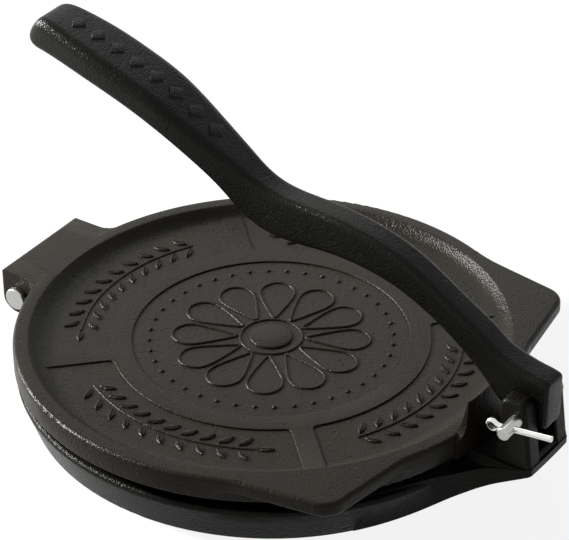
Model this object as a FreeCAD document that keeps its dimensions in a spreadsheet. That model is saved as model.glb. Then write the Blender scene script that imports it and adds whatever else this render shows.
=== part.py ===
import FreeCAD, Part
import math
import os
import Sketcher

# A cast-iron tortilla press: a round base plate, a round top plate hinged to it at the back,
# and a lever that turns on a pin between two ears at the front and presses on the top plate.
# The frame's origin is the centre of the base plate's foot, +X points from the rear hinge to
# the lever's pin, +Y to the far side and +Z up. Lengths are in millimetres, angles in degrees.
# The top plate is drawn lying level over the base and then opened by rest_tilt about its pin.

Vector = FreeCAD.Vector
doc = FreeCAD.newDocument("tortilla_press")
sheet = doc.addObject("Spreadsheet::Sheet", "sizes")

# The driving dimensions. A name that ends in share is a part of the size it follows.
SIZES = {
    "plate_radius": 101.8,
    "foot_draft": 6.2,
    "base_rise": 16.65,
    "rim_round": 1.8,
    "rim_land": 10.8,
    "pad_rise": 0.6,
    "foot_wall": 6.6,
    "skin": 5.2,
    "hollow_round": 3,
    "foot_boss_radius": 16,
    "foot_rib": 7,
    "overrun": 4,
    "running_gap": 0.05,
    "side_gap": 0.3,
    "hinge_behind": 7,
    "hinge_over": 0.35,
    "pin_radius": 2.7,
    "hinge_head_radius": 4.7,
    "hinge_head_thick": 2.4,
    "pivot_head_radius": 3.6,
    "pivot_head_thick": 1.2,
    "pin_end": 0.9,
    "knuckle_radius": 5.6,
    "knuckle_half": 17.2,
    "closed_gap": 1.75,
    "floor_thick": 5.5,
    "rim_rise": 4.4,
    "rim_width": 6.3,
    "rim_fall": 0.2,
    "cove_radius": 9,
    "cove_run": 4.5,
    "edge_round": 1,
    "rest_tilt": 1.11,
    "lug_width": 7.1,
    "hood_behind": 8.6,
    "hood_round": 3,
    "hood_flare": 7.7,
    "hood_blend": 6,
    "hood_end_run": 11,
    "hood_end_fall": 0.8,
    "lug_radius": 7.7,
    "wing_thick": 5.7,
    "wing_proud_share": 0.1801,
    "wing_turn": 45.1,
    "wing_round": 10,
    "wing_start_turn": 68,
    "wing_flank_turn": 64.4,
    "wing_front_turn": 26.4,
    "wing_end_turn": 21,
    "wing_side_share": 0.589,
    "wing_front_share": 0.246,
    "nose_rise": 19.8,
    "nose_half": 17,
    "nose_flare": 6,
    "nose_run": 3.4,
    "nose_behind": 0.4,
    "nose_sweep": 12,
    "nose_proud": 1.2,
    "nose_round": 1.4,
    "tongue_out": 25.2,
    "tongue_tip": 3.4,
    "saddle_gap": 0.373,
    "slot_step": 2.9,
    "ear_deep": 17,
    "ear_thick": 7.7,
    "ear_over": 7.6,
    "ear_rake": 2.5,
    "ear_lean": 4,
    "ear_round": 3.2,
    "ear_soft": 1.6,
    "ear_foot": 4,
    "pivot_behind": 7.2,
    "pivot_drop": 4.773,
    "lever_half": 6,
    "lever_reach": 238,
    "grip_half": 13.5,
    "lever_round": 2.8,
    "grip_round": 5.2,
    "lever_end_round": 1.6,
    "pin_stub": 10.7,
    "cotter_inset": 5.2,
    "cotter_radius": 1.2,
    "cotter_split": 0.12,
    "cotter_leg": 18,
    "cotter_neck": 3.2,
    "cotter_eye": 1.6,
    "cotter_shoulder": 4,
    "cotter_hole": 1.35,
    "pivot_cotter_tilt": 8,
    "hinge_cotter_tilt": 220,
    "band_inner": 55,
    "band_width": 8.6,
    "band_round": 2.5,
    "relief": 0.6,
    "spoke_width": 8.4,
    "spoke_turn": 45,
}

# What follows from them, each from names above it. The top plate's front is lifted by front_lift.
FOLLOWING = {
    "foot_radius": "plate_radius - foot_draft",
    "pad_radius": "plate_radius - rim_land",
    "hollow_radius": "foot_radius - foot_wall",
    "hinge_reach": "plate_radius + hinge_behind",
    "hinge_rise": "base_rise + hinge_over",
    "hood_half": "knuckle_half + lug_width",
    "hood_back": "hinge_reach + hood_behind",
    "rim_radius": "plate_radius - rim_width",
    "wing_proud": "wing_proud_share * plate_radius",
    "wing_side_blend": "wing_side_share * plate_radius",
    "wing_front_blend": "wing_front_share * plate_radius",
    "nose_ridge": "plate_radius - nose_behind",
    "nose_foot": "nose_ridge - nose_run",
    "front_lift": "(nose_ridge + hinge_reach) * tan(rest_tilt)",
    "tongue_reach": "plate_radius + tongue_out",
    "tongue_rise": "base_rise + closed_gap + front_lift - saddle_gap",
    "slot_rise": "tongue_rise + slot_step",
    "pivot_reach": "tongue_reach - pivot_behind",
    "pivot_rise": "base_rise + closed_gap + floor_thick + nose_rise + front_lift - pivot_drop",
    "ear_back": "tongue_reach - ear_deep",
    "ear_half": "lever_half + side_gap + ear_thick",
    "ear_top": "pivot_rise + ear_over",
    "band_outer": "band_inner + band_width",
    "spoke_start": "band_inner + band_width / 2",
    "spoke_end": "rim_radius - cove_run / 2",
}
NAMES = [*SIZES, *FOLLOWING]

for row, alias in enumerate(NAMES, start=1):
    sheet.set(f"A{row}", alias)
    sheet.setAlias(f"B{row}", alias)
    sheet.set(f"B{row}", str(SIZES[alias]) if alias in SIZES else f"={FOLLOWING[alias]}")
doc.recompute()


def size(expression):
    """The value of an expression in the sheet's names."""
    return float(sheet.evalExpression(expression))


def bound(expression):
    """The expression with each of the sheet's names written as the document knows it."""
    words = sorted(NAMES, key=len, reverse=True)
    out = expression
    marks = {}
    for place, word in enumerate(words):
        mark = f"@{place}@"
        if word in out:
            out = out.replace(word, mark)
            marks[mark] = f"sizes.{word}"
    for mark, word in marks.items():
        out = out.replace(mark, word)
    return out


def hold(owner, field, expression):
    """Binds a field of an object to the sheet and shows it at once."""
    owner.setExpression(field, bound(expression))


# Outlines

def draw(sketch, corners):
    """Draws a closed outline whose corners are (across, up) or (across, up, rounding radius)."""
    count = len(corners)
    places = [Vector(size(corner[0]), size(corner[1]), 0) for corner in corners]
    rounds = [size(corner[2]) if len(corner) > 2 else 0 for corner in corners]
    cuts = []
    for i, place in enumerate(places):
        if not rounds[i]:
            cuts.append((place, place, place))
            continue
        back = (places[i - 1] - place).normalize()
        onward = (places[(i + 1) % count] - place).normalize()
        half = math.acos(back.dot(onward)) / 2
        run = rounds[i] / math.tan(half)
        centre = place + (back + onward).normalize() * (rounds[i] / math.sin(half))
        cuts.append((place + back * run, place + onward * run, centre))
    lines = []
    for i in range(count):
        lines.append(sketch.addGeometry(Part.LineSegment(cuts[i][1], cuts[(i + 1) % count][0])))
    for i, corner in enumerate(corners):
        mark = sketch.addGeometry(Part.Point(places[i]), True)
        for kind, expression in (("DistanceX", corner[0]), ("DistanceY", corner[1])):
            rule = Sketcher.Constraint(kind, -1, 1, mark, 1, size(expression))
            hold(sketch, f"Constraints[{sketch.addConstraint(rule)}]", expression)
        before = lines[i - 1]
        after = lines[i]
        if not rounds[i]:
            sketch.addConstraint(Sketcher.Constraint("Coincident", before, 2, mark, 1))
            sketch.addConstraint(Sketcher.Constraint("Coincident", after, 1, mark, 1))
            continue
        start, end, centre = cuts[i]
        leftward = (places[i] - places[i - 1]).cross(places[(i + 1) % count] - places[i]).z > 0
        ends = (start, end) if leftward else (end, start)
        angles = [math.atan2(point.y - centre.y, point.x - centre.x) for point in ends]
        circle = Part.Circle(centre, Vector(0, 0, 1), rounds[i])
        bend = sketch.addGeometry(Part.ArcOfCircle(circle, angles[0], angles[1]))
        first = 1 if leftward else 2
        sketch.addConstraint(Sketcher.Constraint("Tangent", before, 2, bend, first))
        sketch.addConstraint(Sketcher.Constraint("Tangent", bend, 3 - first, after, 1))
        rule = Sketcher.Constraint("Radius", bend, rounds[i])
        hold(sketch, f"Constraints[{sketch.addConstraint(rule)}]", corner[2])
        sketch.addConstraint(Sketcher.Constraint("PointOnObject", mark, 1, before))
        sketch.addConstraint(Sketcher.Constraint("PointOnObject", mark, 1, after))


PLAN = FreeCAD.Rotation()
SIDE = FreeCAD.Rotation(Vector(1, 0, 0), 90)
FRONT = FreeCAD.Rotation(Vector(1, 1, 1), 120)
SQUARE_TO = {(True, False): "z", (False, True): "y", (False, False): "x"}


def outline(name, corners, turn, shift="0"):
    """An outline in plan (X, Y), from the side (X, Z) or from the front (Y, Z), shifted square to it."""
    sketch = doc.addObject("Sketcher::SketchObject", name)
    sketch.Placement = FreeCAD.Placement(Vector(), turn)
    hold(sketch, f"Placement.Base.{SQUARE_TO[turn is PLAN, turn is SIDE]}", shift)
    draw(sketch, corners)
    doc.recompute()
    return sketch


# Solids from outlines

def slab(name, corners, turn, length, shift="0"):
    """An outline given a thickness: upward in plan, both ways alike otherwise."""
    solid = doc.addObject("Part::Extrusion", name)
    solid.Base = outline(f"{name}_outline", corners, turn, shift)
    solid.DirMode = "Normal"
    solid.Solid = True
    solid.Symmetric = turn is not PLAN
    hold(solid, "LengthFwd", length)
    doc.recompute()
    return solid


def round_body(name, corners):
    """An outline in the X, Z plane turned once round the Z axis."""
    solid = doc.addObject("Part::Revolution", name)
    solid.Source = outline(f"{name}_outline", corners, SIDE)
    solid.Axis = Vector(0, 0, 1)
    solid.Base = Vector()
    solid.Angle = 360
    solid.Solid = True
    doc.recompute()
    return solid


def rod(name, radius, half, along, rise):
    """A cylinder along Y, as long each way from the middle plane."""
    solid = doc.addObject("Part::Cylinder", name)
    hold(solid, "Radius", radius)
    hold(solid, "Height", f"2 * ({half})")
    solid.Placement.Rotation = SIDE
    hold(solid, "Placement.Base.x", along)
    hold(solid, "Placement.Base.y", half)
    hold(solid, "Placement.Base.z", rise)
    return solid


def block(name, low, high):
    """A box between two corners."""
    solid = doc.addObject("Part::Box", name)
    for field, side, a, b in zip(("Length", "Width", "Height"), "xyz", low, high):
        hold(solid, field, f"({b}) - ({a})")
        hold(solid, f"Placement.Base.{side}", a)
    return solid


def fuse(name, *solids):
    joined = doc.addObject("Part::MultiFuse", name)
    joined.Shapes = list(solids)
    doc.recompute()
    return joined


def common(name, *solids):
    shared = doc.addObject("Part::MultiCommon", name)
    shared.Shapes = list(solids)
    doc.recompute()
    return shared


def cut(name, solid, tool):
    left = doc.addObject("Part::Cut", name)
    left.Base = solid
    left.Tool = tool
    doc.recompute()
    return left


def mirrored(name, solid):
    """The same solid on the far side of the middle plane."""
    twin = doc.addObject("Part::Mirroring", name)
    twin.Source = solid
    twin.Normal = Vector(0, 1, 0)
    doc.recompute()
    return twin


def rounded(name, solid, radius, chosen):
    """Rounds the edges for which chosen(edge) is true."""
    doc.recompute()
    soft = doc.addObject("Part::Fillet", name)
    soft.Base = solid
    edges = enumerate(solid.Shape.Edges, start=1)
    soft.Edges = [(i, size(radius), size(radius)) for i, edge in edges if chosen(edge)]
    doc.recompute()
    return soft


def finished(solid, node):
    """Names a finished sub-part."""
    solid.Label = node
    return solid


# Base plate: a shallow dish turned upside down, with a cross of ribs and a boss under it.

def base_plate():
    disc = round_body("base_disc", [
        ("0", "0"),
        ("foot_radius", "0", "edge_round"),
        ("plate_radius", "base_rise", "rim_round"),
        ("pad_radius", "base_rise"),
        ("pad_radius - pad_rise", "base_rise + pad_rise"),
        ("0", "base_rise + pad_rise"),
    ])
    hollow = round_body("base_hollow", [
        ("foot_boss_radius", "-overrun"),
        ("hollow_radius", "-overrun"),
        ("hollow_radius", "base_rise - skin", "hollow_round"),
        ("foot_boss_radius", "base_rise - skin", "hollow_round"),
    ])
    long_rib = block("base_rib_long",
                     ("-plate_radius", "-foot_rib / 2", "-2 * overrun"),
                     ("plate_radius", "foot_rib / 2", "base_rise"))
    cross_rib = block("base_rib_cross",
                      ("-foot_rib / 2", "-plate_radius", "-2 * overrun"),
                      ("foot_rib / 2", "plate_radius", "base_rise"))
    bays = cut("base_bays", hollow, fuse("base_ribs", long_rib, cross_rib))

    # The tongue runs out under the lever's pin and thins towards its tip.
    tongue_plan = slab("tongue_plan", [
        ("0.6 * plate_radius", "-0.56 * plate_radius"),
        ("0.79 * plate_radius", "-0.56 * plate_radius"),
        ("0.935 * plate_radius", "-2.4 * ear_half", "2 * ear_half"),
        ("tongue_reach - 1.25 * ear_half", "-1.25 * ear_half", "1.3 * ear_half"),
        ("tongue_reach", "-ear_half", "rim_round"),
        ("tongue_reach", "ear_half", "rim_round"),
        ("tongue_reach - 1.25 * ear_half", "1.25 * ear_half", "1.3 * ear_half"),
        ("0.935 * plate_radius", "2.4 * ear_half", "2 * ear_half"),
        ("0.79 * plate_radius", "0.56 * plate_radius"),
        ("0.6 * plate_radius", "0.56 * plate_radius"),
    ], PLAN, "2 * ear_top", "-overrun")
    tongue_round = round_body("tongue_round", [
        ("0", "base_rise / 2"),
        ("foot_radius", "0"),
        ("foot_radius + 0.28 * (tongue_reach - foot_radius)", "0.45 * base_rise", "ear_half"),
        ("tongue_reach + rim_round", "tongue_rise - tongue_tip + rim_round"),
        ("tongue_reach + rim_round", "tongue_rise + rim_round / 2"),
        ("plate_radius + 2 * rim_round", "base_rise + rim_round", "ear_half"),
        ("pad_radius", "base_rise"),
        ("0", "base_rise"),
    ])
    tongue = common("tongue", tongue_plan, tongue_round)

    tongue_under = round_body("tongue_under", [
        ("0", "base_rise / 2"),
        ("foot_radius", "0"),
        ("foot_radius + 0.28 * (tongue_reach - foot_radius)", "0.45 * base_rise", "ear_half"),
        ("tongue_reach + rim_round", "tongue_rise - tongue_tip + rim_round"),
        ("tongue_reach + rim_round", "ear_top"),
        ("0", "ear_top"),
    ])

    # The saddle lies under the top plate's nose and joins the feet of the two ears.
    saddle = slab("saddle", [
        ("nose_ridge - 5 * rim_round", "base_rise / 2"),
        ("tongue_reach - 2 * rim_round", "tongue_rise - tongue_tip"),
        ("tongue_reach - rim_round / 2", "tongue_rise"),
        ("tongue_reach - rim_round / 2", "slot_rise", "rim_round"),
        ("ear_back", "slot_rise", "rim_round"),
        ("ear_back", "tongue_rise"),
        ("nose_ridge - 5 * rim_round", "tongue_rise", "rim_round"),
    ], SIDE, "2 * ear_half")
    ear = slab("far_ear_sharp", [
        ("tongue_reach - 2 * rim_round", "tongue_rise - tongue_tip"),
        ("tongue_reach", "tongue_rise - tongue_tip / 2"),
        ("tongue_reach - ear_lean", "ear_top", "ear_round"),
        ("ear_back + ear_rake", "ear_top", "ear_round"),
        ("ear_back", "tongue_rise"),
        ("ear_back", "tongue_rise - tongue_tip"),
    ], SIDE, "ear_half - lever_half - side_gap", "-(ear_half + lever_half + side_gap) / 2")
    ear = rounded("far_ear_round", ear, "ear_soft", lambda edge: is_ear_edge(edge, "ear_half"))
    ear = rounded("far_ear", ear, "edge_round", lambda edge: is_ear_edge(edge, "lever_half + side_gap"))
    near_ear = mirrored("near_ear", ear)

    # The knuckle stands behind the dish between the ends of the top plate's hood.
    knuckle = rod("knuckle", "knuckle_radius", "knuckle_half", "-hinge_reach", "hinge_rise")
    web = slab("knuckle_web", [
        ("-hollow_radius - edge_round", "base_rise"),
        ("-hinge_reach", "base_rise"),
        ("-hinge_reach", "hinge_rise - knuckle_radius"),
        ("-hollow_radius - edge_round", "hinge_rise - knuckle_radius"),
    ], SIDE, "2 * knuckle_half")
    flare = slab("ear_flare", [
        ("-ear_half - 2 * ear_foot", "base_rise / 2"),
        ("ear_half + 2 * ear_foot", "base_rise / 2"),
        ("ear_half + 2 * ear_foot", "base_rise + ear_foot / 4"),
        ("ear_half", "base_rise + ear_foot", "1.5 * ear_foot"),
        ("ear_half", "slot_rise + overrun"),
        ("-ear_half", "slot_rise + overrun"),
        ("-ear_half", "base_rise + ear_foot", "1.5 * ear_foot"),
        ("-ear_half - 2 * ear_foot", "base_rise + ear_foot / 4"),
    ], FRONT, "2 * tongue_reach")
    heel = block("ear_heel",
                 ("nose_ridge - rim_round", "-ear_half - 2 * ear_foot", "base_rise / 2"),
                 ("tongue_reach", "ear_half + 2 * ear_foot", "tongue_rise"))
    feet = common("ear_feet", flare, heel, tongue_plan, tongue_under)
    whole = fuse("base_whole", disc, tongue, saddle, ear, near_ear, feet, knuckle, web)
    casting = cut("base_casting", whole, bays)
    bores = fuse("base_bores",
                 rod("pivot_bore", "pin_radius + running_gap", "ear_half + overrun",
                     "pivot_reach", "pivot_rise"),
                 rod("hinge_bore", "pin_radius + running_gap", "hood_half + overrun",
                     "-hinge_reach", "hinge_rise"))
    return finished(cut("base_plate", casting, bores), "base_plate")


# Top plate: a dished disc with two corner wings, a hinge hood behind and a nose in front.

FACE = "(base_rise + closed_gap + floor_thick)"
RIM = f"({FACE} + rim_rise)"
UNDER = "(base_rise + closed_gap)"


def on_rim(turn, reach="plate_radius"):
    """A corner on the rim's circle, on the near side, turned that far from +X."""
    return f"{reach} * cos({turn})", f"-{reach} * sin({turn})"


def top_plate():
    disc = round_body("top_disc", [
        ("0", f"{UNDER} - pad_rise"),
        ("pad_radius - pad_rise", f"{UNDER} - pad_rise"),
        ("pad_radius", UNDER),
        ("plate_radius", UNDER, "edge_round"),
        ("plate_radius", f"{RIM} - rim_fall", "rim_round"),
        ("rim_radius", RIM, "edge_round"),
        ("rim_radius - cove_run", FACE, "cove_radius"),
        ("0", FACE),
    ])
    inside = round_body("top_inside", [
        ("0", FACE),
        ("rim_radius - cove_run", FACE, "cove_radius"),
        ("rim_radius", RIM),
        ("rim_radius", f"{RIM} + ear_top"),
        ("0", f"{RIM} + ear_top"),
    ])
    wing = slab("near_wing", [
        on_rim("wing_start_turn"),
        (*on_rim("wing_flank_turn"), "wing_side_blend"),
        (*on_rim("wing_turn", "(plate_radius + wing_proud)"), "wing_round"),
        (*on_rim("wing_front_turn"), "wing_front_blend"),
        on_rim("wing_end_turn"),
        on_rim("wing_end_turn", "0.8 * plate_radius"),
        on_rim("wing_start_turn", "0.8 * plate_radius"),
    ], PLAN, "wing_thick", f"{RIM} - wing_thick")
    soft_top = rounded("near_wing_top", wing, "rim_round", lambda edge: is_outer_level(edge, True))
    soft_wing = rounded("near_wing_soft", soft_top, "edge_round", lambda edge: is_outer_level(edge, False))

    hood_plan = slab("hood_plan", [
        ("-0.8 * plate_radius", "-hood_half - hood_flare"),
        ("-sqrt(plate_radius ^ 2 - (hood_half + hood_flare) ^ 2)", "-hood_half - hood_flare"),
        ("-sqrt(plate_radius ^ 2 - hood_half ^ 2)", "-hood_half", "hood_blend"),
        ("-hood_back", "-hood_half", "rim_round"),
        ("-hood_back", "hood_half", "rim_round"),
        ("-sqrt(plate_radius ^ 2 - hood_half ^ 2)", "hood_half", "hood_blend"),
        ("-sqrt(plate_radius ^ 2 - (hood_half + hood_flare) ^ 2)", "hood_half + hood_flare"),
        ("-0.8 * plate_radius", "hood_half + hood_flare"),
    ], PLAN, "ear_top", "0")
    hood_side = slab("hood_side", [
        ("-0.8 * plate_radius", RIM),
        ("-hood_back", RIM, "hood_round"),
        ("-hinge_reach - lug_radius", "hinge_rise - lug_radius", "0.98 * lug_radius"),
        ("-hinge_reach + lug_radius", "hinge_rise - lug_radius", "0.98 * lug_radius"),
        ("-hinge_reach + lug_radius", UNDER),
        ("-0.8 * plate_radius", UNDER),
    ], SIDE, "2 * (hood_half + hood_flare)")

    # The hood is hollow over the base's knuckle and open below.
    pocket = slab("hood_pocket", [
        ("-hinge_reach - knuckle_radius - 2 * side_gap", "hinge_rise - lug_radius - overrun"),
        ("-0.8 * plate_radius", "hinge_rise - lug_radius - overrun"),
        ("-0.8 * plate_radius", "hinge_rise + knuckle_radius + 2 * side_gap"),
        ("-hinge_reach - knuckle_radius - 2 * side_gap", "hinge_rise + knuckle_radius + 2 * side_gap",
         "knuckle_radius / 2"),
    ], SIDE, "2 * (knuckle_half + side_gap)")
    rear_open = block("hood_rear_open",
                      ("-hood_back - overrun", "-knuckle_half - side_gap", "0"),
                      ("-hinge_reach", "knuckle_half + side_gap", "hinge_rise"))
    bore = rod("lug_bore", "pin_radius + running_gap", "hood_half + overrun",
               "-hinge_reach", "hinge_rise")
    hood_front = slab("hood_front", [
        ("-hood_half - hood_flare", "hinge_rise - lug_radius - overrun"),
        ("hood_half + hood_flare", "hinge_rise - lug_radius - overrun"),
        ("hood_half + hood_flare", f"{RIM} - hood_end_fall * (1 + hood_flare / hood_end_run)"),
        ("hood_half - hood_end_run", RIM, "hood_end_run"),
        ("hood_end_run - hood_half", RIM, "hood_end_run"),
        ("-hood_half - hood_flare", f"{RIM} - hood_end_fall * (1 + hood_flare / hood_end_run)"),
    ], FRONT, "2 * hood_back")
    whole_hood = common("whole_hood", hood_plan, hood_side, hood_front)
    hood = cut("hood", whole_hood, fuse("hood_room", pocket, rear_open, bore))

    # The nose sweeps up from the dished face to the ridge that the lever pushes down.
    nose_side = slab("nose_side", [
        ("nose_foot - 2 * nose_sweep", FACE),
        ("nose_foot", FACE, "nose_sweep"),
        ("nose_ridge", f"{FACE} + nose_rise", "nose_round"),
        ("plate_radius + nose_proud", f"{FACE} + nose_rise - rim_round"),
        ("plate_radius + nose_proud", UNDER),
        ("nose_foot - 2 * nose_sweep", UNDER),
    ], SIDE, "2 * (nose_half + nose_flare)")
    nose_front = slab("nose_front", [
        ("-nose_half - nose_flare", UNDER),
        ("nose_half + nose_flare", UNDER),
        ("nose_half + nose_flare", f"{FACE} + rim_rise / 2"),
        ("nose_half + rim_round", f"{FACE} + rim_rise", "nose_flare"),
        ("nose_half", f"{FACE} + nose_rise", "nose_round"),
        ("-nose_half", f"{FACE} + nose_rise", "nose_round"),
        ("-nose_half - rim_round", f"{FACE} + rim_rise", "nose_flare"),
        ("-nose_half - nose_flare", f"{FACE} + rim_rise / 2"),
    ], FRONT, "2 * (plate_radius + nose_proud + overrun)")
    nose_round = doc.addObject("Part::Cylinder", "nose_round_body")
    hold(nose_round, "Radius", "plate_radius + nose_proud")
    hold(nose_round, "Height", f"{FACE} + nose_rise + overrun")
    nose = common("nose", nose_side, nose_front, nose_round)

    far_wing = mirrored("far_wing", soft_wing)
    rim = cut("wings_outside", fuse("wings", soft_wing, far_wing, hood), inside)
    plate = fuse("top_plate", disc, rim, nose, relief())
    lift = "rotation(vector(0; -1; 0); rest_tilt)"
    hinge = "vector(-hinge_reach; 0; hinge_rise)"
    hold(plate, "Placement", f"placement(vector(0; 0; 0); {lift}; {hinge})")
    doc.recompute()
    return finished(plate, "top_plate")


def is_ear_edge(edge, aside):
    """An edge of the ear's outline, above its foot, that lies that far from the middle plane."""
    box = edge.BoundBox
    flat = box.YLength < size("running_gap") and abs(abs(box.Center.y) - size(aside)) < size("running_gap")
    return flat and box.ZMax > size("tongue_rise + running_gap")


def is_outer_level(edge, upper):
    """A level edge of the wing's upper or lower face that lies outside the rim."""
    box = edge.BoundBox
    level = box.ZLength < size("running_gap")
    if upper != (box.ZMax > size(f"{RIM} - wing_thick / 2")):
        return False
    middle = edge.valueAt((edge.FirstParameter + edge.LastParameter) / 2)
    outside = math.hypot(middle.x, middle.y) > size("plate_radius + running_gap")
    return level and outside


def relief():
    """A low band round the middle of the dished face and four spokes from it out to the rim."""
    band = round_body("face_band", [
        ("band_inner", f"{FACE} - relief"),
        ("band_outer", f"{FACE} - relief"),
        ("band_outer", f"{FACE} + relief"),
        ("band_inner", f"{FACE} + relief"),
    ])
    spokes = []
    turns = ("spoke_turn", "180 - spoke_turn", "180 + spoke_turn", "-spoke_turn")
    for place, turn in enumerate(turns, start=1):
        bar = doc.addObject("Part::Box", f"spoke_{place}")
        hold(bar, "Length", "spoke_end - spoke_start")
        hold(bar, "Width", "spoke_width")
        hold(bar, "Height", "2 * relief")
        corner = f"vector(spoke_start; -spoke_width / 2; {FACE} - relief)"
        spin = f"rotation(vector(0; 0; 1); {turn})"
        level = "rotation(0; 0; 0)"
        hold(bar, "Placement", f"placement(vector(0; 0; 0); {spin}) * placement({corner}; {level})")
        spokes.append(bar)
    cross = fuse("face_cross", band, *spokes)
    soft_cross = rounded("face_cross_round", cross, "band_round", lambda edge: is_spoke_corner(edge))
    return rounded("face_cross_soft", soft_cross, "relief / 2", lambda edge: is_relief_top(edge))


def is_spoke_corner(edge):
    """An upright edge where a spoke's side meets the band."""
    box = edge.BoundBox
    reach = math.hypot(box.Center.x, box.Center.y)
    return box.ZLength > size("relief") and reach < size("band_outer + band_round")


def is_relief_top(edge):
    """An edge of the relief's upper face."""
    box = edge.BoundBox
    return box.ZLength < size("running_gap") and box.ZMin > size(FACE)


# Lever: cast bar lofted through sections. Each row of shares gives the top and the underside
# of one section as (behind, above) the pivot, both as shares of lever_reach, and its half-width
# as a share of lever_half plus a share of what the grip is wider.

SECTION_SHARES = (
    (-0.0332, 0.0571, -0.0324, -0.0269, 1.0, 0.0),
    (-0.0050, 0.0647, 0.0013, -0.0277, 1.0, 0.0),
    (0.0244, 0.0706, 0.0361, -0.0160, 1.0, 0.0),
    (0.0471, 0.0773, 0.0634, 0.0046, 1.0, 0.0),
    (0.0655, 0.0857, 0.0878, 0.0303, 1.0, 0.0),
    (0.0836, 0.0996, 0.1172, 0.0555, 1.0, 0.0),
    (0.1239, 0.1244, 0.1512, 0.0815, 1.0, 0.0),
    (0.1756, 0.1555, 0.1966, 0.1084, 1.0, 0.0),
    (0.2261, 0.1840, 0.2450, 0.1303, 1.0, 0.0),
    (0.2933, 0.2076, 0.3038, 0.1445, 1.0, 0.0),
    (0.3647, 0.2193, 0.3647, 0.1495, 1.0, 0.0),
    (0.4319, 0.2218, 0.4277, 0.1458, 1.0, 0.0),
    (0.4845, 0.2259, 0.4750, 0.1450, 1.0, 0.02),
    (0.5244, 0.2395, 0.5139, 0.1529, 1.0, 0.08),
    (0.5580, 0.2588, 0.5450, 0.1731, 1.0, 0.22),
    (0.5958, 0.2803, 0.5782, 0.2055, 1.0, 0.42),
    (0.6546, 0.3134, 0.6370, 0.2496, 1.0, 0.72),
    (0.7134, 0.3441, 0.6987, 0.2853, 1.0, 0.94),
    (0.7807, 0.3697, 0.7702, 0.3139, 1.0, 1.0),
    (0.8479, 0.3912, 0.8416, 0.3340, 1.0, 0.94),
    (0.8983, 0.4046, 0.8983, 0.3458, 1.0, 0.76),
    (0.9298, 0.4097, 0.9361, 0.3508, 1.0, 0.6),
    (0.9458, 0.4050, 0.9588, 0.3550, 1.0, 0.45),
    (0.9546, 0.3966, 0.9672, 0.3622, 1.0, 0.28),
    (0.9605, 0.3874, 0.9706, 0.3710, 0.9, 0.0),
)


CORNER_SHARE = 0.42
SHOULDER_SHARE = -0.02


def section(top, under, half, upper_round, lower_round):
    """A rectangle with rounded corners whose middle line runs from top to under."""
    depth = (top - under).Length
    up = (top - under).normalize()
    side = Vector(0, 1, 0)
    middle = (top + under) / 2
    corners = []
    places = ((1, 1, upper_round), (-1, 1, upper_round), (-1, -1, lower_round), (1, -1, lower_round))
    for across, along, corner in places:
        corner = min(corner, depth * CORNER_SHARE, half * CORNER_SHARE)
        out = side * across
        on = up * along
        centre = middle + out * (half - corner) + on * (depth / 2 - corner)
        bend = centre + (out + on).normalize() * corner
        ends = [centre + out * corner, centre + on * corner]
        if across != along:
            ends.reverse()
        corners.append((ends[0], bend, ends[1]))
    edges = []
    for place, (first, bend, last) in enumerate(corners):
        edges.append(Part.Arc(first, bend, last).toShape())
        edges.append(Part.LineSegment(last, corners[(place + 1) % len(corners)][0]).toShape())
    return Part.Wire(edges)


def press_lever():
    reach = size("lever_reach")
    half = size("lever_half")
    wider = size("grip_half - lever_half")
    arm_round = size("lever_round")
    softer = size("grip_round - lever_round")
    pivot = Vector(size("pivot_reach"), 0, size("pivot_rise"))
    wires = []
    for top_back, top_up, under_back, under_up, arm_share, grip_share in SECTION_SHARES:
        top = pivot + Vector(-top_back * reach, 0, top_up * reach)
        under = pivot + Vector(-under_back * reach, 0, under_up * reach)
        soft = arm_round + softer * grip_share
        wires.append(section(top, under, half * arm_share + wider * grip_share, soft, arm_round))
    bar = doc.addObject("Part::Feature", "lever_bar")
    bar.Shape = Part.makeLoft(wires, True, False)
    shoulder = pivot.x - SHOULDER_SHARE * reach
    bar = rounded("lever_soft", bar, "lever_end_round", lambda edge: edge.BoundBox.XMin > shoulder)
    bore = rod("lever_bore", "pin_radius + running_gap", "lever_half + overrun",
               "pivot_reach", "pivot_rise")
    return finished(cut("press_lever", bar, bore), "press_lever")


# Pins: each is turned, headed at one end and drilled across at the other for its cotter.

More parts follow.
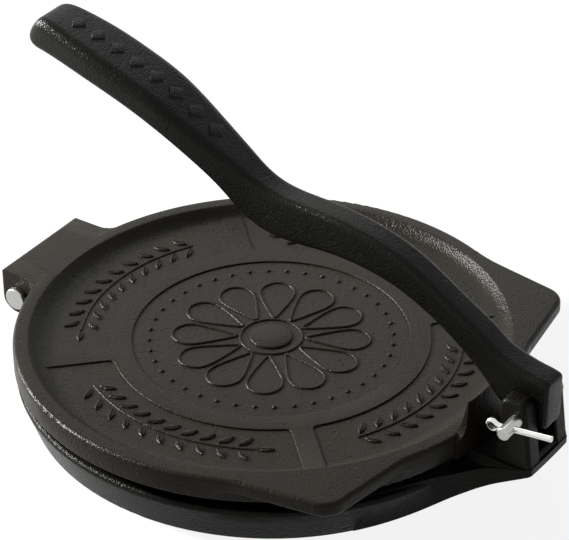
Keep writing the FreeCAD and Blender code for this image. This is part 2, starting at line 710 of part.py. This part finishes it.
def pin(node, half, head_side, along, rise, tilt, head):
    """A pin along Y whose shank reaches pin_stub past the half-width and whose head is head_side."""
    body = doc.addObject("PartDesign::Body", node)
    planes = {item.Role: item for item in body.Origin.OriginFeatures}
    profile = body.newObject("Sketcher::SketchObject", f"{node}_profile")
    profile.AttachmentSupport = [(planes["XY_Plane"], "")]
    profile.MapMode = "FlatFace"
    draw(profile, [
        ("0", f"-{head_side} * ({half} + pin_stub)"),
        ("pin_radius", f"-{head_side} * ({half} + pin_stub)", "pin_end"),
        ("pin_radius", f"{head_side} * ({half})"),
        (f"{head}_radius", f"{head_side} * ({half})"),
        (f"{head}_radius", f"{head_side} * ({half} + {head}_thick)", "pin_end"),
        ("0", f"{head_side} * ({half} + {head}_thick)"),
    ])
    shank = body.newObject("PartDesign::Revolution", f"{node}_shank")
    shank.Profile = profile
    shank.ReferenceAxis = (profile, ["V_Axis"])
    shank.Angle = 360
    doc.recompute()
    drill = body.newObject("Sketcher::SketchObject", f"{node}_drill")
    drill.AttachmentSupport = [(planes["YZ_Plane"], "")]
    drill.MapMode = "FlatFace"
    place = f"-{head_side} * ({half} + pin_stub - cotter_inset)"
    ring = drill.addGeometry(Part.Circle(Vector(size(place), 0, 0), Vector(0, 0, 1), size("cotter_hole")))
    rule = drill.addConstraint(Sketcher.Constraint("DistanceX", -1, 1, ring, 3, size(place)))
    hold(drill, f"Constraints[{rule}]", place)
    drill.addConstraint(Sketcher.Constraint("PointOnObject", ring, 3, -1))
    rule = drill.addConstraint(Sketcher.Constraint("Radius", ring, size("cotter_hole")))
    hold(drill, f"Constraints[{rule}]", "cotter_hole")
    doc.recompute()
    before = shank.Shape.Volume
    hole = body.newObject("PartDesign::Pocket", f"{node}_hole")
    hole.Profile = drill
    hole.Midplane = True
    hold(hole, "Length", "4 * pin_radius")
    doc.recompute()
    if not hole.Shape.Volume < before:
        raise ValueError(f"{node}: the cross hole cuts nothing")
    hold(body, "Placement", f"placement(vector({along}; 0; {rise}); rotation(vector(0; -1; 0); {tilt}))")
    doc.recompute()
    return finished(body, node)


# Cotters: half-round wire folded to an eye and two legs that lie flat against each other.

def cotter(node, half, head_side, along, rise, tilt):
    """A cotter whose legs point along +X before it is tilted and put through its pin."""
    wire = size("cotter_radius")
    shift = size("cotter_split") / 2
    eye = size("cotter_eye")
    shoulder = size("cotter_shoulder")
    start = Vector(size("cotter_leg"), 0, shift)
    foot = Vector(-size("cotter_neck"), 0, shift)
    bend = foot + Vector(0, 0, shoulder)
    ring = Vector(foot.x - math.sqrt((eye + shoulder) ** 2 - bend.z ** 2), 0, 0)
    toward = (ring - bend).normalize()
    meet = bend + toward * shoulder
    midway = bend + (toward - Vector(0, 0, 1)).normalize() * shoulder

    def flip(point):
        return Vector(point.x, 0, -point.z)

    runs = [
        Part.LineSegment(start, foot),
        Part.Arc(foot, midway, meet),
        Part.Arc(meet, ring - Vector(eye, 0, 0), flip(meet)),
        Part.Arc(flip(meet), flip(midway), flip(foot)),
        Part.LineSegment(flip(foot), flip(start)),
    ]
    path = Part.Wire([run.toShape() for run in runs])
    across = Vector(0, wire, 0)
    flat = Part.LineSegment(start - across, start + across).toShape()
    dome = Part.Arc(start + across, start + Vector(0, 0, wire), start - across).toShape()
    fold = doc.addObject("Part::Feature", node)
    fold.Shape = path.makePipeShell([Part.Wire([flat, dome])], True, False)
    aside = size(f"-{head_side} * ({half} + pin_stub - cotter_inset)")
    turn = FreeCAD.Rotation(Vector(0, -1, 0), size(tilt))
    fold.Placement = FreeCAD.Placement(Vector(size(along), aside, size(rise)), turn)
    return finished(fold, node)


PIVOT = ("ear_half", "1", "pivot_reach", "pivot_rise", "pivot_cotter_tilt")
HINGE = ("hood_half + side_gap", "-1", "-hinge_reach", "hinge_rise", "hinge_cotter_tilt")

subparts = [
    base_plate(),
    top_plate(),
    press_lever(),
    pin("pivot_pin", *PIVOT, "pivot_head"),
    cotter("pivot_cotter", *PIVOT),
    pin("hinge_pin", *HINGE, "hinge_head"),
    cotter("hinge_cotter", *HINGE),
]

doc.recompute()
for item in doc.Objects:
    if "Invalid" in item.State or "Error" in item.State:
        raise ValueError(f"{item.Name} failed: {item.State}")
for subpart in subparts:
    if subpart.Shape.isNull() or not subpart.Shape.isValid():
        raise ValueError(f"{subpart.Label} has no valid shape")

os.makedirs("parts", exist_ok=True)
for subpart in subparts:
    subpart.Shape.exportStep(f"parts/{subpart.Label}.step")
    shape = subpart.Shape
    print(subpart.Label, len(shape.Solids), "solids", round(shape.Volume / 1000, 2), "cm3")
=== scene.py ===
import math

import bmesh
import bpy
from mathutils import Matrix, Vector


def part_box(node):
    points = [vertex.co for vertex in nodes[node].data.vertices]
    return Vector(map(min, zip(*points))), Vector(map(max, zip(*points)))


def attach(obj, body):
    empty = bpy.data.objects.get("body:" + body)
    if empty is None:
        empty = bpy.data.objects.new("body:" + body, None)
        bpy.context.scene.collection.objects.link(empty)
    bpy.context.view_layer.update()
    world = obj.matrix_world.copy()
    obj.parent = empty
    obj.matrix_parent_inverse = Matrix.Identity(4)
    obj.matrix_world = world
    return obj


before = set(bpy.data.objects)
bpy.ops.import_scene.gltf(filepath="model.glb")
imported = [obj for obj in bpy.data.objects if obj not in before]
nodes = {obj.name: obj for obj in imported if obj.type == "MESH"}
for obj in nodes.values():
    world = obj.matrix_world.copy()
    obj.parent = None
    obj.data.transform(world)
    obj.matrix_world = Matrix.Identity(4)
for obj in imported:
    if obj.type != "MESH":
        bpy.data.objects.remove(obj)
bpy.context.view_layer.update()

# A cast-iron tortilla press: seasoned iron castings with a low ornament on the upper plate and
# on the grip, and bright plated pins and cotters. Lengths are in metres, angles in degrees.

MILLIMETRE = 0.001


# Materials

def socket(group, name, way, kind="NodeSocketFloat"):
    """A named input or output of a node group."""
    group.interface.new_socket(name=name, in_out=way, socket_type=kind)


def link(tree, source, target):
    tree.links.new(source, target)


def texture(tree, kind, vector, scale, **inputs):
    """A noise or Voronoi texture on the given vector."""
    made = tree.nodes.new(kind)
    link(tree, vector, made.inputs["Vector"])
    made.inputs["Scale"].default_value = scale
    for name, value in inputs.items():
        made.inputs[name].default_value = value
    return made


def remap(tree, value, low, high, to_low, to_high):
    """A value moved from one range to another and kept inside it."""
    made = tree.nodes.new("ShaderNodeMapRange")
    link(tree, value, made.inputs["Value"])
    ends = (("From Min", low), ("From Max", high), ("To Min", to_low), ("To Max", to_high))
    for name, number in ends:
        made.inputs[name].default_value = number
    return made.outputs["Result"]


def combine(tree, operation, *values):
    """Values, each a socket or a number, joined by an operation."""
    made = tree.nodes.new("ShaderNodeMath")
    made.operation = operation
    for place, value in enumerate(values):
        if isinstance(value, (int, float)):
            made.inputs[place].default_value = value
        else:
            link(tree, value, made.inputs[place])
    return made.outputs["Value"]


GRAINS_PER_METRE = 1500
PITS_PER_METRE = 380
PATCHES_PER_METRE = 22
GRAIN_SMOOTHNESS = 0.6
GRAIN_REACH = 0.8
PIT_RANGE = (0.26, 0.38)
CREST_RANGE = (0.52, 0.72)
PATCH_RANGE = (0.30, 0.70)


def sand_grain_group():
    """The skin of a sand casting: fine round grain, scattered pits and broad patches of oil."""
    group = bpy.data.node_groups.new("sand_grain", "ShaderNodeTree")
    socket(group, "Vector", "INPUT", "NodeSocketVector")
    socket(group, "Grain", "INPUT")
    socket(group, "Pits", "INPUT")
    socket(group, "Height", "OUTPUT")
    socket(group, "Crest", "OUTPUT")
    socket(group, "Patch", "OUTPUT")
    given = group.nodes.new("NodeGroupInput")
    result = group.nodes.new("NodeGroupOutput")
    vector = given.outputs["Vector"]
    fine = texture(group, "ShaderNodeTexNoise", vector, GRAINS_PER_METRE, Detail=3.0, Roughness=0.62)
    cells = texture(group, "ShaderNodeTexVoronoi", vector, GRAINS_PER_METRE, Randomness=1.0)
    cells.feature = "SMOOTH_F1"
    cells.inputs["Smoothness"].default_value = GRAIN_SMOOTHNESS
    rounds = remap(group, cells.outputs["Distance"], 0.0, GRAIN_REACH, 1.0, 0.0)
    grain = combine(group, "ADD", fine.outputs["Fac"], rounds)
    grain = combine(group, "MULTIPLY", grain, given.outputs["Grain"])
    holes = texture(group, "ShaderNodeTexNoise", vector, PITS_PER_METRE, Detail=1.0, Roughness=0.5)
    pits = remap(group, holes.outputs["Fac"], *PIT_RANGE, 1.0, 0.0)
    sunk = combine(group, "MULTIPLY", pits, given.outputs["Pits"])
    link(group, combine(group, "SUBTRACT", grain, sunk), result.inputs["Height"])
    crest = remap(group, fine.outputs["Fac"], *CREST_RANGE, 0.0, 1.0)
    link(group, crest, result.inputs["Crest"])
    broad = texture(group, "ShaderNodeTexNoise", vector, PATCHES_PER_METRE, Detail=4.0, Roughness=0.55)
    patch = remap(group, broad.outputs["Fac"], *PATCH_RANGE, 0.0, 1.0)
    link(group, patch, result.inputs["Patch"])
    return group


SAND_GRAIN = sand_grain_group()


def new_material(name, color, metallic, roughness):
    """A material with its shader and a vector on Object coordinates."""
    material = bpy.data.materials.new(name)
    material.use_nodes = True
    tree = material.node_tree
    shader = tree.nodes["Principled BSDF"]
    shader.inputs["Base Color"].default_value = (*color, 1)
    shader.inputs["Metallic"].default_value = metallic
    shader.inputs["Roughness"].default_value = roughness
    place = tree.nodes.new("ShaderNodeTexCoord")
    return material, tree, shader, place.outputs["Object"]


GRAIN_SHARE = 1.0
PIT_SHARE = 0.8
CREST_TONE = 0.45
PATCH_TONE = 0.55


def iron(name, dark, pale, smooth, rough, bump, gloss):
    """Seasoned cast iron, from dark to pale in patches, with oil-bright and dry places."""
    material, tree, shader, vector = new_material(name, dark, 0.0, rough)
    skin = tree.nodes.new("ShaderNodeGroup")
    skin.node_tree = SAND_GRAIN
    link(tree, vector, skin.inputs["Vector"])
    skin.inputs["Grain"].default_value = GRAIN_SHARE
    skin.inputs["Pits"].default_value = PIT_SHARE
    tone = tree.nodes.new("ShaderNodeMix")
    tone.data_type = "RGBA"
    tone.inputs["A"].default_value = (*dark, 1)
    tone.inputs["B"].default_value = (*pale, 1)
    patch = combine(tree, "MULTIPLY", skin.outputs["Patch"], PATCH_TONE)
    share = combine(tree, "MULTIPLY_ADD", skin.outputs["Crest"], CREST_TONE, patch)
    link(tree, share, tone.inputs["Factor"])
    link(tree, tone.outputs["Result"], shader.inputs["Base Color"])
    dryness = remap(tree, skin.outputs["Patch"], 0.0, 1.0, smooth, rough)
    link(tree, dryness, shader.inputs["Roughness"])
    shader.inputs["Specular IOR Level"].default_value = gloss
    relief = tree.nodes.new("ShaderNodeBump")
    relief.inputs["Strength"].default_value = 1.0
    relief.inputs["Distance"].default_value = bump
    link(tree, skin.outputs["Height"], relief.inputs["Height"])
    link(tree, relief.outputs["Normal"], shader.inputs["Normal"])
    return material


LINES_PER_METRE = 900
LINE_RANGE = (0.35, 0.65)
LINE_STRENGTH = 0.35
LINE_DEPTH = 0.00004


def plated(name, color, smooth, rough, stretch):
    """Bright plated steel with fine drawn lines along one way."""
    material, tree, shader, vector = new_material(name, color, 1.0, rough)
    mapping = tree.nodes.new("ShaderNodeMapping")
    mapping.inputs["Scale"].default_value = stretch
    link(tree, vector, mapping.inputs["Vector"])
    drawn = mapping.outputs["Vector"]
    lines = texture(tree, "ShaderNodeTexNoise", drawn, LINES_PER_METRE, Detail=3.0, Roughness=0.6)
    scored = remap(tree, lines.outputs["Fac"], *LINE_RANGE, smooth, rough)
    link(tree, scored, shader.inputs["Roughness"])
    relief = tree.nodes.new("ShaderNodeBump")
    relief.inputs["Strength"].default_value = LINE_STRENGTH
    relief.inputs["Distance"].default_value = LINE_DEPTH
    link(tree, lines.outputs["Fac"], relief.inputs["Height"])
    link(tree, relief.outputs["Normal"], shader.inputs["Normal"])
    return material


# Three copies of one seasoned iron, each toned to how light falls on its part. The plate's copy is
# paler, as painted light for its lit upper face. The base's and the lever's copies are darker, as
# painted shade for their shaded sides. The base's weaker gloss is painted shade too.
SHADED_BASE_IRON = iron(
    "seasoned_iron_base_painted_shade", dark=(0.005, 0.0045, 0.0034), pale=(0.010, 0.009, 0.0066),
    smooth=0.25, rough=0.35, bump=0.00015, gloss=0.065,
)
LIT_PLATE_IRON = iron(
    "seasoned_iron_plate_painted_light", dark=(0.010, 0.0084, 0.006), pale=(0.018, 0.015, 0.0102),
    smooth=0.26, rough=0.36, bump=0.00013, gloss=0.09,
)
SHADED_LEVER_IRON = iron(
    "seasoned_iron_lever_painted_shade", dark=(0.004, 0.0038, 0.003), pale=(0.008, 0.0074, 0.0056),
    smooth=0.22, rough=0.32, bump=0.00013, gloss=0.10,
)
PIN_STEEL = plated(
    "plated_pin_steel", color=(0.44, 0.44, 0.42), smooth=0.20, rough=0.34, stretch=(1.0, 0.08, 1.0),
)
COTTER_STEEL = plated(
    "plated_wire_steel", color=(0.72, 0.72, 0.70), smooth=0.16, rough=0.28, stretch=(0.08, 1.0, 1.0),
)


WELD_REACH = 0.000002


def dress(node, material, soft_angle):
    """Gives a node its material and shades its curved stretches smooth."""
    piece = nodes[node]
    piece.data.materials.clear()
    piece.data.materials.append(material)
    for face in piece.data.polygons:
        face.use_smooth = True
    weld = piece.modifiers.new("weld", "WELD")
    weld.merge_threshold = WELD_REACH
    split = piece.modifiers.new("crease", "EDGE_SPLIT")
    split.split_angle = math.radians(soft_angle)


PLATE_SOFT_ANGLE = 32
BAR_SOFT_ANGLE = 40

for node, material, soft_angle in (
    ("base_plate", SHADED_BASE_IRON, PLATE_SOFT_ANGLE),
    ("top_plate", LIT_PLATE_IRON, PLATE_SOFT_ANGLE),
    ("press_lever", SHADED_LEVER_IRON, BAR_SOFT_ANGLE),
    ("pivot_pin", PIN_STEEL, BAR_SOFT_ANGLE),
    ("hinge_pin", PIN_STEEL, BAR_SOFT_ANGLE),
    ("pivot_cotter", COTTER_STEEL, BAR_SOFT_ANGLE),
    ("hinge_cotter", COTTER_STEEL, BAR_SOFT_ANGLE),
):
    dress(node, material, soft_angle)


# Ornament: each motif is modelled flat on z = 0 and then laid on the face of its casting.

ROOT_DEPTH = 0.4 * MILLIMETRE
PAD_EDGE = 0.5 * MILLIMETRE


def pad(length, width, rise, soft=PAD_EDGE, turn=0, at=(0, 0), taper=0.0, segments=16):
    """A raised pad, oval or leaf-shaped, with a soft upper edge, as a bmesh."""
    bm = bmesh.new()
    bmesh.ops.create_circle(bm, cap_ends=True, segments=segments, radius=1)
    for vertex in bm.verts:
        narrowing = 1 - taper * abs(vertex.co.x) ** 2
        vertex.co.x *= length / 2
        vertex.co.y *= width / 2 * narrowing
    top = bmesh.ops.extrude_face_region(bm, geom=bm.faces[:])
    raised = [item for item in top["geom"] if isinstance(item, bmesh.types.BMVert)]
    bmesh.ops.translate(bm, verts=raised, vec=(0, 0, rise + ROOT_DEPTH))
    bmesh.ops.translate(bm, verts=bm.verts, vec=(0, 0, -ROOT_DEPTH))
    brim = [edge for edge in bm.edges if all(vertex.co.z > 0 for vertex in edge.verts)]
    bmesh.ops.bevel(bm, geom=brim, offset=soft, segments=2, profile=0.5, material=-1,
                    affect="EDGES")
    spin = Matrix.Rotation(math.radians(turn), 4, "Z")
    bmesh.ops.transform(bm, matrix=Matrix.Translation((*at, 0)) @ spin, verts=bm.verts)
    bmesh.ops.recalc_face_normals(bm, faces=bm.faces)
    return bm


def ridge(name, points, width, rise, closed):
    """A half-round line through points on z = 0, as a mesh made from a curve."""
    curve = bpy.data.curves.new(name, "CURVE")
    curve.dimensions = "3D"
    curve.bevel_depth = 1
    curve.bevel_resolution = 2
    curve.resolution_u = 4
    spline = curve.splines.new("NURBS")
    spline.points.add(len(points) - 1)
    for point, (x, y) in zip(spline.points, points):
        point.co = (x, y, 0, 1)
        point.radius = width / 2
    spline.order_u = 4
    spline.use_cyclic_u = closed
    spline.use_endpoint_u = not closed
    curve.use_fill_caps = True
    holder = bpy.data.objects.new(name, curve)
    mesh = bpy.data.meshes.new_from_object(holder)
    bpy.data.objects.remove(holder)
    bm = bmesh.new()
    bm.from_mesh(mesh)
    bmesh.ops.scale(bm, vec=(1, 1, 2 * rise / width), verts=bm.verts)
    bpy.data.meshes.remove(mesh)
    return bm


def gather(name, parts):
    """Joins several bmeshes in one mesh object."""
    mesh = bpy.data.meshes.new(name)
    whole = bmesh.new()
    for part in parts:
        part.to_mesh(mesh)
        whole.from_mesh(mesh)
        part.free()
    whole.to_mesh(mesh)
    whole.free()
    for face in mesh.polygons:
        face.use_smooth = True
    piece = bpy.data.objects.new(name, mesh)
    bpy.context.scene.collection.objects.link(piece)
    return piece


DOWN = Vector((0, 0, -1))
DROP_START = 10 * MILLIMETRE
ORNAMENT_SOFT_ANGLE = 50


def lay_on(piece, node):
    """Drops every vertex of a flat piece on top of a node and keeps its height over it."""
    carrier = nodes[node]
    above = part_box(node)[1].z + DROP_START
    for vertex in piece.data.vertices:
        start = Vector((vertex.co.x, vertex.co.y, above))
        found, place, _, _ = carrier.ray_cast(start, DOWN)
        if found:
            vertex.co.z += place.z


def finish_ornament(piece, node, body, material):
    """Lays a piece on its casting, which it moves with and shares its material with."""
    piece.data.materials.append(material)
    lay_on(piece, node)
    split = piece.modifiers.new("crease", "EDGE_SPLIT")
    split.split_angle = math.radians(ORNAMENT_SOFT_ANGLE)
    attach(piece, body)


def polar(radius, turn):
    """The point at a radius and an angle from +X."""
    return radius * math.cos(math.radians(turn)), radius * math.sin(math.radians(turn))


# The upper plate: a rosette in the middle, a ring of beads round it and a sprig in each sector.
PLATE_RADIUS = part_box("top_plate")[1].y
LINE_WIDTH = 1.3 * MILLIMETRE
LINE_RISE = 0.65 * MILLIMETRE
PETALS = 12
PETAL_ROOT_SHARE = 0.13
PETAL_TIP_SHARE = 0.395
PETAL_SPREAD = 14.0
# The outline of half a petal: where along it, as a share of its middle or its tip, and how far
# to the side, as a share of PETAL_SPREAD.
PETAL_ROOT_SIDE = 0.15
PETAL_MIDDLE_SHAPE = ((0.9, 0.8), (1.25, 1.0))
PETAL_TIP_SHAPE = (0.95, 0.55)
HEART_SHARE = 0.085
HEART_RISE = LINE_RISE * 1.3
HEART_SEGMENTS = 32
HEART_RING_SHARE = HEART_SHARE * 1.45
RING_STEP = 20
BEADS = 40
BEAD_RING_SHARE = 0.475
BEAD_RADIUS = 0.95 * MILLIMETRE
BEAD_RISE = 0.7 * MILLIMETRE
BEAD_SEGMENTS = 12


def petal_line(turn):
    """The outline of one petal, from its root out to its tip and back."""
    root = PLATE_RADIUS * PETAL_ROOT_SHARE
    tip = PLATE_RADIUS * PETAL_TIP_SHARE
    middle = (root + tip) / 2
    half = [(root, PETAL_ROOT_SIDE)]
    half += [(middle * along, side) for along, side in PETAL_MIDDLE_SHAPE]
    half.append((tip * PETAL_TIP_SHAPE[0], PETAL_TIP_SHAPE[1]))
    shape = [*half, (tip, 0.0), *((radius, -side) for radius, side in reversed(half))]
    return [polar(radius, turn + side * PETAL_SPREAD) for radius, side in shape]


rosette_parts = [
    ridge("petal", petal_line(place * 360 / PETALS), LINE_WIDTH, LINE_RISE, True)
    for place in range(PETALS)
]
heart = PLATE_RADIUS * HEART_SHARE
heart_line = [polar(PLATE_RADIUS * HEART_RING_SHARE, turn) for turn in range(0, 360, RING_STEP)]
rosette_parts.append(pad(2 * heart, 2 * heart, HEART_RISE, LINE_RISE, segments=HEART_SEGMENTS))
rosette_parts.append(ridge("heart_ring", heart_line, LINE_WIDTH, LINE_RISE, True))
rosette = gather("plate_rosette", rosette_parts)
finish_ornament(rosette, "top_plate", "upper", LIT_PLATE_IRON)

bead_parts = [
    pad(2 * BEAD_RADIUS, 2 * BEAD_RADIUS, BEAD_RISE, segments=BEAD_SEGMENTS,
        at=polar(PLATE_RADIUS * BEAD_RING_SHARE, place * 360 / BEADS))
    for place in range(BEADS)
]
beads = gather("plate_beads", bead_parts)
finish_ornament(beads, "top_plate", "upper", LIT_PLATE_IRON)

# Each sprig is a stem along an arc with pairs of leaves. The sectors lie between the spokes.
SECTOR_MIDDLES = (-90, 0, 90, 180)
STEM_SHARE = 0.745
STEM_WIDTH = LINE_WIDTH * 0.8
STEM_RISE = LINE_RISE * 0.8
STEM_HALF_TURN = 30.0
LEAF_STEP = 6.0
LEAF_LENGTH = 7.2 * MILLIMETRE
LEAF_WIDTH = 3.0 * MILLIMETRE
LEAF_LEAN = 48.0
LEAF_OFFSET = 4.3 * MILLIMETRE
LEAF_TAPER = 0.75


def leaf(turn, at):
    return pad(LEAF_LENGTH, LEAF_WIDTH, LINE_RISE, taper=LEAF_TAPER, turn=turn, at=at)


def sprig(middle):
    """A stem with a leaf each side at every step and one leaf at its end."""
    stem = PLATE_RADIUS * STEM_SHARE
    count = int(2 * STEM_HALF_TURN / LEAF_STEP)
    turns = [middle - STEM_HALF_TURN + step * LEAF_STEP for step in range(count + 1)]
    parts = [ridge("stem", [polar(stem, turn) for turn in turns], STEM_WIDTH, STEM_RISE, False)]
    for turn in turns[:-1]:
        for side in (-1, 1):
            at = polar(stem + side * LEAF_OFFSET, turn + LEAF_STEP / 2)
            parts.append(leaf(turn + 90 - side * LEAF_LEAN, at))
    parts.append(leaf(turns[-1] + 90, polar(stem, turns[-1] + LEAF_STEP / 2)))
    return parts


sprigs = gather("plate_sprigs", [part for middle in SECTOR_MIDDLES for part in sprig(middle)])
finish_ornament(sprigs, "top_plate", "upper", LIT_PLATE_IRON)

# The grip: a row of lozenges along its upper face.
GRIP_START = -0.091
GRIP_END = -0.026
LOZENGES = 8
LOZENGE_LENGTH = 6.4 * MILLIMETRE
LOZENGE_WIDTH = 9.0 * MILLIMETRE
LOZENGE_RISE = 0.6 * MILLIMETRE
lozenge_parts = []
for place in range(LOZENGES):
    along = GRIP_START + (GRIP_END - GRIP_START) * place / (LOZENGES - 1)
    lozenge_parts.append(pad(LOZENGE_LENGTH, LOZENGE_WIDTH, LOZENGE_RISE, at=(along, 0), segments=4))
lozenges = gather("grip_lozenges", lozenge_parts)
finish_ornament(lozenges, "press_lever", "lever", SHADED_LEVER_IRON)


# Camera, floor and light

# The camera stands where the photograph was taken from. Focal length and width are in pixels.
FRAME_WIDTH = 569
FOCAL_LENGTH = 2953.9
SENSOR_WIDTH = 36
VIEW_TURN = 34.14
VIEW_RISE = 33.14
VIEW_ROLL = 0.34
EYE = Vector((0.54485, -0.79452, 0.68662))
FARTHEST_SEEN = 20


def set_camera():
    turn = math.radians(VIEW_TURN)
    rise = math.radians(VIEW_RISE)
    roll = math.radians(VIEW_ROLL)
    back = Vector((math.sin(turn) * math.cos(rise), -math.cos(turn) * math.cos(rise), math.sin(rise)))
    level = Vector((math.cos(turn), math.sin(turn), 0))
    upright = back.cross(level)
    right = level * math.cos(roll) + upright * math.sin(roll)
    up = upright * math.cos(roll) - level * math.sin(roll)
    lens = bpy.data.cameras.new("camera")
    lens.sensor_width = SENSOR_WIDTH
    lens.lens = FOCAL_LENGTH * SENSOR_WIDTH / FRAME_WIDTH
    lens.clip_end = FARTHEST_SEEN
    camera = bpy.data.objects.new("camera", lens)
    bpy.context.scene.collection.objects.link(camera)
    pose = Matrix((right, up, back)).transposed().to_4x4()
    pose.translation = EYE
    camera.matrix_world = pose
    bpy.context.scene.camera = camera


def seen_directly(tree):
    """1 for what the camera sees itself or in a reflection, 0 for the light that falls on things."""
    path = tree.nodes.new("ShaderNodeLightPath")
    total = combine(tree, "ADD", path.outputs["Is Camera Ray"], path.outputs["Is Glossy Ray"])
    total = combine(tree, "ADD", total, path.outputs["Is Transmission Ray"])
    total.node.use_clamp = True
    return total


FLOOR_HALF = 6.0
FLOOR_GLOW = 0.88
FLOOR_SEEN = (1, 1, 1, 1)
FLOOR_BOUNCE = (0.36, 0.36, 0.36, 1)
FLOOR_ROUGHNESS = 0.9


def set_floor():
    """A white floor that stays white to the camera and keeps a soft shadow."""
    bm = bmesh.new()
    bmesh.ops.create_grid(bm, x_segments=1, y_segments=1, size=FLOOR_HALF)
    mesh = bpy.data.meshes.new("floor")
    bm.to_mesh(mesh)
    bm.free()
    floor = bpy.data.objects.new("floor", mesh)
    bpy.context.scene.collection.objects.link(floor)
    material = bpy.data.materials.new("white_floor")
    material.use_nodes = True
    tree = material.node_tree
    shader = tree.nodes["Principled BSDF"]
    color = tree.nodes.new("ShaderNodeMix")
    color.data_type = "RGBA"
    color.inputs["A"].default_value = FLOOR_BOUNCE
    color.inputs["B"].default_value = FLOOR_SEEN
    link(tree, seen_directly(tree), color.inputs["Factor"])
    link(tree, color.outputs["Result"], shader.inputs["Base Color"])
    shader.inputs["Roughness"].default_value = FLOOR_ROUGHNESS
    glow = tree.nodes.new("ShaderNodeEmission")
    mixed = tree.nodes.new("ShaderNodeMixShader")
    link(tree, combine(tree, "MULTIPLY", seen_directly(tree), FLOOR_GLOW), mixed.inputs["Fac"])
    link(tree, shader.outputs["BSDF"], mixed.inputs[1])
    link(tree, glow.outputs["Emission"], mixed.inputs[2])
    link(tree, mixed.outputs["Shader"], tree.nodes["Material Output"].inputs["Surface"])
    mesh.materials.append(material)


WORLD_LIGHT = 0.12


def set_world():
    """White to the camera and in reflections, and a weaker even light on the press."""
    world = bpy.data.worlds.new("studio")
    bpy.context.scene.world = world
    world.use_nodes = True
    tree = world.node_tree
    background = tree.nodes["Background"]
    background.inputs["Color"].default_value = (1, 1, 1, 1)
    strength = remap(tree, seen_directly(tree), 0.0, 1.0, WORLD_LIGHT, 1.0)
    link(tree, strength, background.inputs["Strength"])


LIT_POINT = Vector((0, 0, 0.04))


def softbox(name, at, width, power):
    """A square lamp that faces the press."""
    lamp = bpy.data.lights.new(name, "AREA")
    lamp.shape = "SQUARE"
    lamp.size = width
    lamp.energy = power
    holder = bpy.data.objects.new(name, lamp)
    holder.location = at
    holder.rotation_euler = (Vector(at) - LIT_POINT).to_track_quat("Z", "Y").to_euler()
    bpy.context.scene.collection.objects.link(holder)


set_camera()
set_floor()
set_world()
softbox("left_softbox", at=(-1.49, -0.38, 0.60), width=0.30, power=104)
softbox("back_softbox", at=(-0.75, 0.95, 1.15), width=0.9, power=4)
bpy.context.scene.view_settings.view_transform = "Standard"
